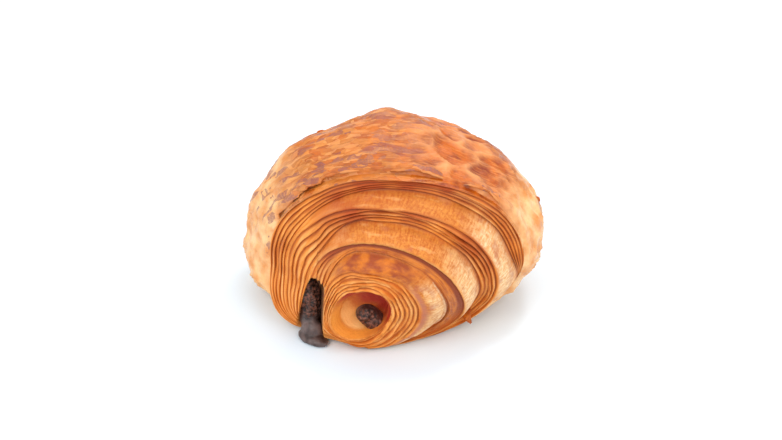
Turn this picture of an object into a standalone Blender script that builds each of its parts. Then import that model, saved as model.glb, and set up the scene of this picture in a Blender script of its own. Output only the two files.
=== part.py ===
"""Pain au chocolat: laminated dough rolled up over two chocolate batons, as it comes out of the oven.

Sizes are in millimetres and become metres where a mesh is made. +Z is up and the origin is at the
middle of the flat underside. The roll lies along Y, and the end that shows its turns faces -Y.
The dough is one solid, cut round the two batons, which run through it and show at both ends.
"""

import math

import bmesh
import bpy
import numpy as np
from mathutils import Euler, Matrix, Vector

MM = 0.001

# The length of the baked roll, along its batons
ROLL_LENGTH = 80.0

# The spiral of the dough: the loose end is low on the right, and the roll winds inwards over the top
TURN_COUNT = 4
LOOSE_END_ANGLE = math.radians(27)
# For the hole in the middle and then after each whole turn: the centre's x and z, half width, half height
TURNS = (
    (-8.2, 15.7, 8.2, 9.2),
    (-7.3, 17.0, 16.3, 16.9),
    (-2.5, 19.2, 24.0, 21.0),
    (-2.6, 22.2, 33.9, 26.2),
    (2.7, 25.6, 36.2, 28.1),
)
LAYERS_IN_DOUGH = 5
# The cut edge of each layer stands out as a ridge, which is lower where the dough thins to nothing
RIDGE_DEPTH = 0.9
FULL_RIDGE_THICKNESS = 6.0
# How much of each turn's face is bare, on the left, where the turns are packed, and on the right
BARE_SHARE_LEFT = 0.12
BARE_SHARE_RIGHT = 0.46
# The first turn has no bare face at first, and the last loses its own just before the loose end
BARE_FACE_STARTS = 0.3
BARE_FACE_ENDS = 0.12
# Where the layers fan out: a middle value, and how it falls to the right and towards the top and bottom
FANNED = (0.15, 1.1, 0.35)

# Each end is a blunt cone, because the inner turns are pushed out of the roll as it bakes. The back end
# is flatter and the whole roll is narrower there
CONE_AXIS = (4.5, 16.8)
CONE_FACE_RADIUS = 18.7
FRONT_SLOPE = 0.98
BACK_SLOPE = 0.6
BACK_SHARE = 0.68
# Low on the right the loose end has drawn back much further, and the foot is rounded off all round
DRAWN_BACK_SLOPE = 0.46
DRAWN_BACK_FROM = -3.3
DRAWN_BACK_SOFTNESS = 4.0
DRAWN_BACK_HEIGHT = 27.0
UNDERCUT_HEIGHT = 12.0
UNDERCUT_DEPTH = 3.0

# The funnel in the middle of the coil
HOLE_DEPTH = 7.0
HOLE_WAIST = 0.62
FUNNEL_STEEPNESS = 1.6

# Where the roll is widest: centre x and z, half width, height above and below, and a lean to the left
WIDEST = (0.8, 21.0, 44.2, 36.6, 23.5)
WIDEST_LEAN = 0.035
# Its right shoulder is flatter than an ellipse by this share, most where cos * sin squared peaks
SHOULDER_SLACK = 0.075
SHOULDER_PEAK = 2.6
# How full the swelling is, and how near the front it lies (under 1 is nearer)
SWELL_SHAPE = 0.9
SWELL_PEAK = 0.66
# The foot spreads, and its corner with the tray is rounded
FOOT_SPREAD = 0.16
FOOT_CENTRE = 15.0
FOOT_HEIGHT = 22.0
FLOOR_SOFTNESS = 2.6
FLOOR_SINK = 0.7
TRAY_SIZE = (160.0, 160.0, 20.0)
# Blisters under the glazed crust: turn and length shares, height and radius
BLISTERS = (
    (0.668, 0.60, 3.2, 9.0),
    (0.70, 0.40, 1.1, 7.0),
    (0.80, 0.50, 1.3, 9.0),
    (0.55, 0.45, 1.2, 8.0),
    (0.93, 0.55, 1.6, 6.0),
    (0.47, 0.30, 0.9, 7.0),
    (0.74, 0.80, 1.2, 8.0),
)
# A torn flap of dough that hangs from the third turn: its tip, its length and its width
FLAP_TIP = (23.4, -27.6, 3.4)
FLAP_LENGTH = 6.0
FLAP_RADIUS = 2.2
FLAP_TIP_RADIUS = 0.3
FLAP_TURN = (60.0, 0.0, 30.0)

# The chocolate batons, and the air that the cut leaves round them
FIT_GAP = 0.3
BATON_ROUNDING = 1.9
CORE_SIZES = (10.8, 6.2)
CORE_CENTRE = (-5.9, 9.2)
CORE_TURN = math.radians(48)
CORE_RECESS = 3.6
SIDE_SIZES = (5.2, 11.0)
# The x and z of its middle at the front and at the back, where the roll is narrower
SIDE_FRONT = (-24.4, 11.4)
SIDE_BACK = (-17.5, 10.6)
SIDE_STANDS_OUT = 1.5
# The melted end of the side baton is a blunt drop that stands on its wide end
TONGUE_MIDDLE = -24.7
TONGUE_HALF_WIDTH = 2.7
TONGUE_FROM = -1.0
TONGUE_HEIGHT = 20.0
TONGUE_FRONT = -29.6
TONGUE_LENGTH = 8.0
TONGUE_BLUNTNESS = 0.36
# The puddle that it stands in: centre, half sizes and turn
PUDDLE_CENTRE = (-23.7, -30.9, 1.5)
PUDDLE_HALF_SIZES = (5.0, 3.5, 2.4)
PUDDLE_TURN = math.radians(-33)
# The open slot in front of the side baton, between two turns
SLOT_MIDDLE = -23.9
SLOT_HALF_WIDTH = 3.9
SLOT_FROM = -2.0
SLOT_HEIGHT = 24.0
SLOT_BLUNTNESS = 0.4
SLOT_BACK = -26.4

# How finely the dough is divided
COLUMNS_IN_TURN = 32
FACE_ROWS = 3
WALL_ROWS = 5
CRUST_ROWS = 13
DROP_STEPS = 12
# Edges that turn more than this stay sharp
SHARP_ANGLE_DOUGH = math.radians(40)
SHARP_ANGLE_CHOCOLATE = math.radians(50)


def at_turn(t, column):
    """A size from TURNS after t turns, on a smooth curve through the five that are given."""
    sizes = np.array(TURNS)[:, column]
    slopes = np.gradient(sizes)
    k = np.clip(np.floor(t).astype(int), 0, TURN_COUNT - 1)
    s = t - k
    rise = s * s * (3 - 2 * s)
    bend = s * (1 - s)
    return (
        sizes[k] * (1 - rise)
        + sizes[k + 1] * rise
        + bend * ((1 - s) * slopes[k] - s * slopes[k + 1])
    )


def around(t):
    """The angle of the roll after t turns. It runs clockwise from the right, seen from the front."""
    return LOOSE_END_ANGLE + 2 * math.pi * t


def ellipse(turn, t):
    """Where the ellipse of size number turn has the angle of t turns, as x and z."""
    x = at_turn(turn, 0) + at_turn(turn, 2) * np.cos(around(t))
    z = at_turn(turn, 1) - at_turn(turn, 3) * np.sin(around(t))
    return np.stack([x, z], axis=-1)


def spiral(t):
    """The outer face of the dough after t turns, as x and z."""
    return ellipse(np.clip(t, 0, TURN_COUNT), t)


def smooth_step(x):
    s = np.clip(x, 0, 1)
    return s * s * (3 - 2 * s)


def mix(a, b, share):
    """Part of the way from a to b. The share is one number for each point."""
    share = np.asarray(share)
    if np.ndim(a) > np.ndim(share):
        share = share[..., None]
    return a + (b - a) * share


def telescope(point, slope):
    """How far back from the tip of the cone the layers end at this place in the roll."""
    distance = np.linalg.norm(point - np.array(CONE_AXIS), axis=-1)
    back = slope * np.logaddexp(0, distance - CONE_FACE_RADIUS)
    low = np.clip(1 - point[..., 1] / UNDERCUT_HEIGHT, 0, 1)
    right = np.logaddexp(0, (point[..., 0] - DRAWN_BACK_FROM) / DRAWN_BACK_SOFTNESS)
    drawn = DRAWN_BACK_SLOPE * DRAWN_BACK_SOFTNESS * right
    drawn = drawn * smooth_step(1 - point[..., 1] / DRAWN_BACK_HEIGHT)
    return back + UNDERCUT_DEPTH * low**2 + drawn


def leftness(t):
    """1 where the layers fan out on the left of the roll, falling to 0 on its top and right."""
    middle, to_right, to_top = FANNED
    return smooth_step(middle - to_right * np.cos(around(t)) - to_top * np.abs(np.sin(around(t))))


def lip(t, slope):
    """The outer front corner of the dough after t turns: (x, z, distance back from the tip)."""
    place = spiral(t)
    return np.concatenate([place, telescope(place, slope)[..., None]], axis=-1)


def groove(t, slope):
    """The corner where the cut edge of this turn meets the turn inside it."""
    started = smooth_step((t - 1) / BARE_FACE_STARTS)
    ending = smooth_step((t - TURN_COUNT) / BARE_FACE_ENDS + 1)
    bare_share = mix(BARE_SHARE_RIGHT, BARE_SHARE_LEFT, leftness(t)) * started
    exposed = bare_share + (1 - bare_share) * ending
    fanned = np.clip(leftness(t) + 1 - started, 0, 1) * (1 - ending)
    inner = lip(t - 1, slope)
    outer = lip(t, slope)
    point = mix(inner, outer, exposed)
    point[..., 2] = mix(outer[..., 2], inner[..., 2], fanned)
    return point


def rim(t, slope):
    """The closed edge of the hole in the middle of the coil."""
    place = ellipse(np.zeros_like(t), t)
    return np.concatenate([place, telescope(place, slope)[..., None]], axis=-1)


def crust_start(t, slope):
    """Behind the lip of the last turn, where the crust begins: it closes on itself at the loose end."""
    last = np.full_like(t, float(TURN_COUNT))
    left = (TURN_COUNT - t)[..., None]
    place = spiral(t) * (1 - left) + ellipse(last, t) * left
    step = lip(last, slope)[..., 2] - lip(last - 1, slope)[..., 2]
    depth = lip(t, slope)[..., 2] + (TURN_COUNT - t) * step
    return np.concatenate([place, depth[..., None]], axis=-1)


def end_strip(u, v, slope):
    """The stepped end of the roll. u runs along the spiral and v across one turn of it:
    first the cut edge with its layers, and then the bare face of the dough."""
    edge_share = 2 * LAYERS_IN_DOUGH / (2 * LAYERS_IN_DOUGH + FACE_ROWS)
    t = u * TURN_COUNT
    inner = np.where((t <= 1)[..., None], rim(t, slope), groove(np.maximum(t, 1), slope))
    outer = lip(t, slope)
    next_inner = np.where(
        (t <= TURN_COUNT - 1)[..., None],
        groove(np.minimum(t + 1, TURN_COUNT), slope),
        crust_start(np.maximum(t, TURN_COUNT - 1), slope),
    )
    across = np.clip(v / edge_share, 0, 1)
    onward = np.clip((v - edge_share) / (1 - edge_share), 0, 1)
    on_edge = (v <= edge_share)[..., None]
    point = np.where(on_edge, mix(inner, outer, across), mix(outer, next_inner, onward))
    thickness = np.linalg.norm(outer[..., :2] - inner[..., :2], axis=-1)
    crest = np.abs(np.sin(math.pi * LAYERS_IN_DOUGH * across))
    point[..., 2] -= RIDGE_DEPTH * np.clip(thickness / FULL_RIDGE_THICKNESS, 0, 1) * crest
    return point


def hole_wall(u, v, slope):
    """The funnel of the hole: its wall narrows to a waist (v = 0.5), and then its floor closes it."""
    point = rim(u, slope)
    middle = np.array(CORE_CENTRE)
    width = mix(1.0, HOLE_WAIST, smooth_step(2 * v)) * (1 - smooth_step(2 * v - 1))
    point[..., :2] = middle + (point[..., :2] - middle) * width[..., None]
    point[..., 2] += HOLE_DEPTH * smooth_step(FUNNEL_STEEPNESS * v)
    return point


def narrowed(place):
    """A place in the roll, drawn in as the whole roll is at its back end."""
    centre = np.array([TURNS[-1][0], 0.0])
    return centre + (place - centre) * BACK_SHARE


def widest_section(t):
    """The outline of the roll where it is widest. It has sagged, so it is flatter below than above."""
    x, z, half_width, above, below = WIDEST
    across, down = np.cos(around(t)), np.sin(around(t))
    shoulder = SHOULDER_PEAK * np.clip(across, 0, 1) * np.clip(-down, 0, 1) ** 2
    full = 1 - SHOULDER_SLACK * shoulder
    height = np.where(down > 0, below, above) * full
    right = x + half_width * full * across
    up = z - height * down + WIDEST_LEAN * half_width * across
    return np.stack([right, up], axis=-1)


def blistered(place, u, v):
    """The crust with its blisters pushed outwards."""
    centre = np.array(WIDEST[:2])
    outwards = (place - centre) / np.linalg.norm(place - centre, axis=-1)[..., None]
    girth = 2 * math.pi * WIDEST[2]
    for turn_share, length_share, height, radius in BLISTERS:
        squared = ((u - turn_share) * girth) ** 2 + ((v - length_share) * ROLL_LENGTH / 2) ** 2
        place = place + outwards * (height * np.exp(-squared / radius**2))[..., None]
    return place


def crust(u, v):
    """The crust round the roll (u) and from its front to its back (v). It swells between the two ends."""
    t = TURN_COUNT - 1 + u
    front = crust_start(t, FRONT_SLOPE)
    back = crust_start(t, BACK_SLOPE)
    ring = mix(front[..., :2], narrowed(back[..., :2]), v)
    swell = np.sin(math.pi * v**SWELL_PEAK) ** SWELL_SHAPE
    place = mix(ring, widest_section(t), swell)
    place = mix(place, blistered(place, u, v), swell)
    near = -ROLL_LENGTH / 2 + front[..., 2]
    far = ROLL_LENGTH / 2 - back[..., 2]
    return in_roll(place, mix(near, far, v))


def in_roll(place, y):
    """x, y and z of a point. The foot of the roll spreads, and what is below the tray is pressed flat."""
    z = place[..., 1]
    x = place[..., 0]
    x = x + (x - FOOT_CENTRE) * FOOT_SPREAD * smooth_step(1 - z / FOOT_HEIGHT)
    pressed = (z + np.sqrt(z * z + FLOOR_SOFTNESS**2)) / 2 - FLOOR_SINK
    return np.stack([x, y, pressed], axis=-1)


def front_face(shape):
    """A shape of the end, put at the front of the roll."""

    def place(u, v):
        point = shape(u, v, FRONT_SLOPE)
        return in_roll(point[..., :2], point[..., 2] - ROLL_LENGTH / 2)

    return place


def back_face(shape):
    """The same shape at the back of the roll, where it looks the other way."""

    def place(u, v):
        point = shape(u, v, BACK_SLOPE)
        return in_roll(narrowed(point[..., :2]), ROLL_LENGTH / 2 - point[..., 2])

    return place


def add_sheet(body, columns, rows, place):
    """A flat grid added to the body, each point of it moved to where place puts it."""
    made = bmesh.ops.create_grid(body, x_segments=columns, y_segments=rows, size=1)
    verts = made["verts"]
    flat = np.array([v.co for v in verts])
    u, v = (flat[:, 0] + 1) / 2, (flat[:, 1] + 1) / 2
    for vert, point in zip(verts, place(u, v)):
        vert.co = Vector(point) * MM


def new_collection(name):
    collection = bpy.data.collections.new(name)
    bpy.context.scene.collection.children.link(collection)
    return collection


def new_material(name, colour, roughness):
    """A plain finish. Each is a food, so none is metal."""
    material = bpy.data.materials.new(name)
    material.use_nodes = True
    shader = material.node_tree.nodes["Principled BSDF"]
    shader.inputs["Base Color"].default_value = (*colour, 1)
    shader.inputs["Roughness"].default_value = roughness
    shader.inputs["Metallic"].default_value = 0.0
    return material


def new_object(name, body, collection):
    """An object from a finished body, which is freed."""
    mesh = bpy.data.meshes.new(name)
    body.to_mesh(mesh)
    body.free()
    obj = bpy.data.objects.new(name, mesh)
    collection.objects.link(obj)
    return obj


def new_cutter(name, body, collection):
    """A guide shape, which cuts or joins a part and isn't one itself."""
    obj = new_object(name, body, collection)
    obj.hide_render = True
    obj.display_type = "WIRE"
    return obj


def combine(obj, other, operation):
    boolean = obj.modifiers.new(other.name, "BOOLEAN")
    boolean.object = other
    boolean.operation = operation
    boolean.solver = "EXACT"


def finish(obj, material, sharp_angle):
    """The part's one material, and smooth shading between its edges."""
    obj.data.materials.append(material)
    obj.data.shade_smooth()
    obj.data.set_sharp_from_angle(angle=sharp_angle)


def dough_body():
    """The whole outside of the rolled dough as one closed surface."""
    body = bmesh.new()
    strip_rows = 2 * LAYERS_IN_DOUGH + FACE_ROWS
    for face in (front_face, back_face):
        add_sheet(body, TURN_COUNT * COLUMNS_IN_TURN, strip_rows, face(end_strip))
        add_sheet(body, COLUMNS_IN_TURN, WALL_ROWS, face(hole_wall))
    add_sheet(body, COLUMNS_IN_TURN, CRUST_ROWS, crust)
    bmesh.ops.remove_doubles(body, verts=body.verts, dist=0.02 * MM)
    bmesh.ops.recalc_face_normals(body, faces=body.faces)
    bmesh.ops.triangulate(body, faces=body.faces)
    return body


def rounded_bar(sizes, turn, start, end, grow):
    """A bar with rounded edges: its section, turned about its length, and the points it runs between."""
    body = bmesh.new()
    bmesh.ops.create_cube(body, size=1)
    start, end = Vector(start), Vector(end)
    length = (end - start).length
    size = Vector((sizes[0] + 2 * grow, length + 2 * grow, sizes[1] + 2 * grow)) * MM
    bmesh.ops.scale(body, vec=size, verts=body.verts)
    rounding = (BATON_ROUNDING + grow) * MM
    bmesh.ops.bevel(body, geom=body.edges, offset=rounding, segments=3, profile=0.5, affect="EDGES")
    along = (end - start).to_track_quat("Y", "Z").to_matrix().to_4x4()
    place = Matrix.Translation((start + end) / 2 * MM) @ along @ Matrix.Rotation(turn, 4, "Y")
    bmesh.ops.transform(body, matrix=place, verts=body.verts)
    return body


def drop_outline(middle, half_width, bottom, height, bluntness):
    """A drop standing on its wide end, as x and z, anticlockwise from its lower right."""
    rise = [smooth_step(i / DROP_STEPS) for i in range(DROP_STEPS)]
    right = [(middle + half_width * (1 - s) ** bluntness, bottom + height * s) for s in rise]
    left = [(2 * middle - x, z) for x, z in right]
    return right + [(middle, bottom + height)] + left[::-1]


def drop_body(outline, front, back):
    """The drop, drawn out along Y from its front to its back."""
    body = bmesh.new()
    verts = [body.verts.new(Vector((x, front, z)) * MM) for x, z in outline]
    face = body.faces.new(verts)
    made = bmesh.ops.extrude_face_region(body, geom=[face])
    moved = [v for v in made["geom"] if isinstance(v, bmesh.types.BMVert)]
    bmesh.ops.translate(body, vec=Vector((0, back - front, 0)) * MM, verts=moved)
    bmesh.ops.recalc_face_normals(body, faces=body.faces)
    return body


def puddle_body(grow):
    """The flattened round of chocolate that melted out of the side baton."""
    body = bmesh.new()
    bmesh.ops.create_uvsphere(body, u_segments=20, v_segments=12, radius=1)
    size = Vector([(half + grow) * MM for half in PUDDLE_HALF_SIZES])
    bmesh.ops.scale(body, vec=size, verts=body.verts)
    place = Matrix.Translation(Vector(PUDDLE_CENTRE) * MM) @ Matrix.Rotation(PUDDLE_TURN, 4, "Z")
    bmesh.ops.transform(body, matrix=place, verts=body.verts)
    return body


def flap_body():
    """The torn flap: a six-sided cone that points forwards and down."""
    body = bmesh.new()
    bmesh.ops.create_cone(
        body,
        cap_ends=True,
        segments=6,
        radius1=FLAP_RADIUS * MM,
        radius2=FLAP_TIP_RADIUS * MM,
        depth=FLAP_LENGTH * MM,
    )
    turn = Euler([math.radians(a) for a in FLAP_TURN]).to_matrix().to_4x4()
    tip = turn @ Vector((0, 0, FLAP_LENGTH / 2 * MM))
    place = Matrix.Translation(Vector(FLAP_TIP) * MM - tip) @ turn
    bmesh.ops.transform(body, matrix=place, verts=body.verts)
    return body


def tray_body():
    """What lies below the baking tray's surface."""
    body = bmesh.new()
    bmesh.ops.create_cube(body, size=1)
    bmesh.ops.scale(body, vec=Vector(TRAY_SIZE) * MM, verts=body.verts)
    bmesh.ops.translate(body, vec=Vector((0, 0, -TRAY_SIZE[2] / 2)) * MM, verts=body.verts)
    return body


def end_of_baton(centre, slope, recess):
    """How far from the middle of the roll a baton ends, this far inside the face, or outside if negative."""
    return ROLL_LENGTH / 2 - float(telescope(np.array(centre), slope)) - recess


def before_narrowing(place):
    """Where a place in the back end of the roll would be if the roll were as wide there as in front."""
    centre = np.array([TURNS[-1][0], 0.0])
    return centre + (np.array(place) - centre) / BACK_SHARE


def core_body(grow):
    """The baton in the middle of the coil. It lies back in its hole at both ends."""
    x, z = CORE_CENTRE
    front = -end_of_baton(CORE_CENTRE, FRONT_SLOPE, CORE_RECESS)
    back = end_of_baton(before_narrowing(CORE_CENTRE), BACK_SLOPE, CORE_RECESS)
    return rounded_bar(CORE_SIZES, CORE_TURN, (x, front, z), (x, back, z), grow)


def side_bodies(grow):
    """The three shapes of the side baton: the bar, its melted end, and the puddle that this stands in."""
    back = end_of_baton(before_narrowing(SIDE_BACK), BACK_SLOPE, -SIDE_STANDS_OUT)
    start = (SIDE_FRONT[0], TONGUE_FRONT + TONGUE_LENGTH / 2, SIDE_FRONT[1])
    bar = rounded_bar(SIDE_SIZES, 0.0, start, (SIDE_BACK[0], back, SIDE_BACK[1]), grow)
    outline = drop_outline(
        TONGUE_MIDDLE, TONGUE_HALF_WIDTH + grow, TONGUE_FROM, TONGUE_HEIGHT + grow, TONGUE_BLUNTNESS
    )
    tongue = drop_body(outline, TONGUE_FRONT - grow, TONGUE_FRONT + TONGUE_LENGTH + grow)
    return bar, tongue, puddle_body(grow)


def side_baton(name, new, grow, parts, guides):
    """The side baton, made of its three shapes by new, or the cutter for it where it is grown."""
    bar, tongue, puddle = side_bodies(grow)
    obj = new(name, bar, parts)
    for part_name, body in (("tongue", tongue), ("puddle", puddle)):
        combine(obj, new_cutter(f"{name}_{part_name}", body, guides), "UNION")
    return obj


def main():
    for obj in list(bpy.data.objects):
        bpy.data.objects.remove(obj)
    parts = new_collection("pain_au_chocolat")
    guides = new_collection("cutters")
    baked_dough = new_material("baked_dough", (0.72, 0.36, 0.12), 0.55)
    dark_chocolate = new_material("dark_chocolate", (0.045, 0.022, 0.016), 0.45)
    tray = new_cutter("tray", tray_body(), guides)

    core = new_object("chocolate_core", core_body(0), parts)
    side = side_baton("chocolate_side", new_object, 0, parts, guides)
    combine(side, tray, "DIFFERENCE")

    dough = new_object("rolled_dough", dough_body(), parts)
    combine(dough, new_cutter("flap", flap_body(), guides), "UNION")
    slot_outline = drop_outline(SLOT_MIDDLE, SLOT_HALF_WIDTH, SLOT_FROM, SLOT_HEIGHT, SLOT_BLUNTNESS)
    slot = new_cutter("slot", drop_body(slot_outline, -ROLL_LENGTH, SLOT_BACK), guides)
    core_tunnel = new_cutter("core_tunnel", core_body(FIT_GAP), guides)
    side_tunnel = side_baton("side_tunnel", new_cutter, FIT_GAP, guides, guides)
    for cutter in (slot, core_tunnel, side_tunnel, tray):
        combine(dough, cutter, "DIFFERENCE")

    finish(dough, baked_dough, SHARP_ANGLE_DOUGH)
    finish(core, dark_chocolate, SHARP_ANGLE_CHOCOLATE)
    finish(side, dark_chocolate, SHARP_ANGLE_CHOCOLATE)


main()
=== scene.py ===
# %% [markdown]
# # A pain au chocolat
#
# The object is a roll of laminated dough, wound four times round dark chocolate batons, glazed
# with egg and baked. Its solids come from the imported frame. This script gives each of them its
# looks: a finer roll with its flakes, two batons, their materials, the floor, the light and the
# camera. Every size below is in millimetres, and it becomes metres where a mesh is moved.

# %% Load the frame
import functools
import itertools
import math

import bmesh
import bpy
import numpy as np
from mathutils import Matrix, Vector


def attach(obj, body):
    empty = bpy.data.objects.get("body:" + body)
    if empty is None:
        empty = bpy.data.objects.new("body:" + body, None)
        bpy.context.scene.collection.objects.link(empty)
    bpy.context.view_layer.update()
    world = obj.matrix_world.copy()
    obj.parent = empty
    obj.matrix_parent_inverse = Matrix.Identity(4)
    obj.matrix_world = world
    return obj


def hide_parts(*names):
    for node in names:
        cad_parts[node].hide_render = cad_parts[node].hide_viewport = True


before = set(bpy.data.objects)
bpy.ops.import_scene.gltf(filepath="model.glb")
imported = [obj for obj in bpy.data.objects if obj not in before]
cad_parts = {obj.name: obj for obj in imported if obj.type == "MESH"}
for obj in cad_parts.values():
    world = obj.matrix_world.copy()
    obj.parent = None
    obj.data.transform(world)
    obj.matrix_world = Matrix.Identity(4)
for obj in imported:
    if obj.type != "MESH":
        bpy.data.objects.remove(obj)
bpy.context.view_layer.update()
MM = 0.001
print("CAD nodes:", sorted(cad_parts))

# %% [markdown]
# ## The camera
#
# The photograph looks down on the front of the roll at about 33 degrees, with a long lens. The
# distance follows from the scale of the picture: 3.3 pixels for each millimetre at the middle of
# the roll. The small shift only puts the roll where the photograph has it in its frame.

# %% Camera
PICTURE_WIDTH = 782
PIXELS_PER_MM = 3.3
LENS = 85.0
SENSOR = 36.0
LOOKS_DOWN = math.radians(33)
AIM = Vector((0.0, 0.0, 24.5)) * MM
SHIFT_PIXELS = (-1.5, -7.0)

view = bpy.data.cameras.new("photo_view")
view.lens = LENS
view.sensor_width = SENSOR
view.shift_x = SHIFT_PIXELS[0] / PICTURE_WIDTH
view.shift_y = SHIFT_PIXELS[1] / PICTURE_WIDTH
camera = bpy.data.objects.new("photo_view", view)
bpy.context.collection.objects.link(camera)
distance = PICTURE_WIDTH / PIXELS_PER_MM / SENSOR * LENS * MM
camera.location = AIM + Vector((0, -math.cos(LOOKS_DOWN), math.sin(LOOKS_DOWN))) * distance
camera.rotation_euler = (math.pi / 2 - LOOKS_DOWN, 0, 0)
bpy.context.scene.camera = camera
print("camera distance in mm:", round(distance / MM))

# %% [markdown]
# ## The floor and the light
#
# The photograph is taken on a white sweep with soft light from every side, so that the ground
# burns out to white and only a faint shadow stays under the roll. A white world gives most of that
# light. Two panels in front shape the ridges, a large one above and behind gives the glaze its
# sheen, and a small one puts glints on it.

# %% Floor, panels and world
FLOOR_DROP = 0.15
FLOOR_WIDTH = 6
WORLD_STRENGTH = 0.88


def aimed_panel(name, place, size, power, colour):
    """A soft square panel of light at this place in mm, aimed at the roll."""
    light = bpy.data.lights.new(name, "AREA")
    light.energy = power
    light.size = size * MM
    light.color = colour
    panel = bpy.data.objects.new(name, light)
    bpy.context.collection.objects.link(panel)
    panel.location = Vector(place) * MM
    panel.rotation_euler = (panel.location - AIM).to_track_quat("Z", "Y").to_euler()
    return panel


bpy.ops.mesh.primitive_plane_add(size=FLOOR_WIDTH, location=(0, 0, -FLOOR_DROP * MM))
floor = bpy.context.object
floor.name = "floor"
aimed_panel("panel_behind", (60, 420, 620), 700, 1.1, (1.0, 0.97, 0.98))
aimed_panel("panel_left", (-380, -400, 540), 460, 2.1, (1.0, 0.99, 0.98))
aimed_panel("panel_right", (420, -380, 520), 460, 1.6, (1.0, 0.98, 0.98))
aimed_panel("panel_small", (180, 160, 560), 110, 0.6, (1.0, 0.98, 0.96))
world = bpy.data.worlds.new("white_room")
world.use_nodes = True
sky = world.node_tree.nodes["Background"]
sky.inputs["Color"].default_value = (1.0, 0.985, 0.98, 1)
sky.inputs["Strength"].default_value = WORLD_STRENGTH
bpy.context.scene.world = world
bpy.context.scene.view_settings.view_transform = "Standard"

# %% [markdown]
# ## The spiral of the dough
#
# A strip of dough was rolled up from its inner end. In a section of the roll its outer face is a
# spiral, which has sagged, so each turn is an ellipse of its own that drifts and grows. At both
# ends of the roll the inner turns were pushed out while it baked, which makes each end a blunt
# cone. The solid in the frame is made from these same sizes, and the finer surface here has to lie
# on it, so the sizes are repeated.

# %% Sizes of the spiral
ROLL_LENGTH = 80.0
TURN_COUNT = 4
LOOSE_END_ANGLE = math.radians(27)
# Centre x and z, half width and half height of the hole, and then after each turn
TURNS = (
    (-8.2, 15.7, 8.2, 9.2),
    (-7.3, 17.0, 16.3, 16.9),
    (-2.5, 19.2, 24.0, 21.0),
    (-2.6, 22.2, 33.9, 26.2),
    (2.7, 25.6, 36.2, 28.1),
)
CONE_AXIS = (4.5, 16.8)
CONE_FACE_RADIUS = 18.7
FRONT_SLOPE = 0.98
BACK_SLOPE = 0.6
# How wide the back end is beside the front end
BACK_SHARE = 0.68
# The right of the end is drawn back: the slope, the x where it starts, over how far, and how high
DRAWN_BACK = (0.46, -3.3, 4.0, 27.0)
UNDERCUT_HEIGHT = 12.0
UNDERCUT_DEPTH = 3.0
FUSED_TURNS = (1.5, 2.2)
# Share of a turn that lies bare: on the top and right, on the left, and more where it is fused
BARE_SHARES = (0.46, 0.12, 0.16)


def smooth_step(x):
    """0 below 0, 1 above 1, and a smooth rise between."""
    s = np.clip(x, 0, 1)
    return s * s * (3 - 2 * s)


def mix(a, b, share):
    """Part of the way from a to b. The share is one number for each point."""
    share = np.asarray(share)
    if np.ndim(a) > np.ndim(share):
        share = share[..., None]
    return a + (b - a) * share


def at_turn(t, column):
    """A size from TURNS after t turns, on a smooth curve through the five that are given."""
    sizes = np.array(TURNS)[:, column]
    slopes = np.gradient(sizes)
    k = np.clip(np.floor(t).astype(int), 0, TURN_COUNT - 1)
    s = t - k
    bend = s * (1 - s) * ((1 - s) * slopes[k] - s * slopes[k + 1])
    return mix(sizes[k], sizes[k + 1], smooth_step(s)) + bend


def around(t):
    """The angle of the roll after t turns, clockwise from the right."""
    return LOOSE_END_ANGLE + 2 * math.pi * t


def ellipse(turn, t):
    """Where the ellipse of size number turn has the angle of t turns, as x and z."""
    x = at_turn(turn, 0) + at_turn(turn, 2) * np.cos(around(t))
    z = at_turn(turn, 1) - at_turn(turn, 3) * np.sin(around(t))
    return np.stack([x, z], axis=-1)


def telescope(point, slope):
    """How far back from the tip of the cone the layers end at this place in the roll."""
    distance = np.linalg.norm(point - np.array(CONE_AXIS), axis=-1)
    back = slope * np.logaddexp(0, distance - CONE_FACE_RADIUS)
    low = np.clip(1 - point[..., 1] / UNDERCUT_HEIGHT, 0, 1)
    drawn_slope, start, softness, height = DRAWN_BACK
    right = np.logaddexp(0, (point[..., 0] - start) / softness)
    drawn = drawn_slope * softness * right * smooth_step(1 - point[..., 1] / height)
    return back + UNDERCUT_DEPTH * low**2 + drawn


def leftness(t):
    """1 where the layers fan out on the left of the roll, falling to 0 on its top and right."""
    return smooth_step(0.15 - 1.1 * np.cos(around(t)) - 0.35 * np.abs(np.sin(around(t))))


def with_depth(place, slope):
    """x, z and the distance back from the tip, for a place on the end of the roll."""
    return np.concatenate([place, telescope(place, slope)[..., None]], axis=-1)


def lip(t, slope):
    """The outer front corner of the dough after t turns: (x, z, distance back from the tip)."""
    return with_depth(ellipse(np.clip(t, 0, TURN_COUNT), t), slope)


def fused_share(t):
    """1 on the stretch of the second turn whose layers stuck together into one smooth ridge."""
    first, last = FUSED_TURNS
    return smooth_step((t - first) / 0.12) * smooth_step((last - t) / 0.08)


def bare_share(t):
    """How much of a turn's face lies bare between its lip and the next turn."""
    usual, on_left, if_fused = BARE_SHARES
    started = smooth_step((t - 1) / 0.3)
    ending = smooth_step((t - TURN_COUNT) / 0.12 + 1)
    share = (mix(usual, on_left, leftness(t)) + if_fused * fused_share(t)) * started
    return share + (1 - share) * ending, started, ending


def groove(t, slope):
    """The corner where the cut edge of this turn meets the turn inside it."""
    exposed, started, ending = bare_share(t)
    fanned = np.clip(leftness(t) + 1 - started, 0, 1) * (1 - ending)
    inner, outer = lip(t - 1, slope), lip(t, slope)
    point = mix(inner, outer, exposed)
    point[..., 2] = mix(outer[..., 2], inner[..., 2], fanned)
    return point


def rim(t, slope):
    """The closed edge of the hole in the middle of the coil."""
    return with_depth(ellipse(np.zeros_like(t), t), slope)


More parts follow.
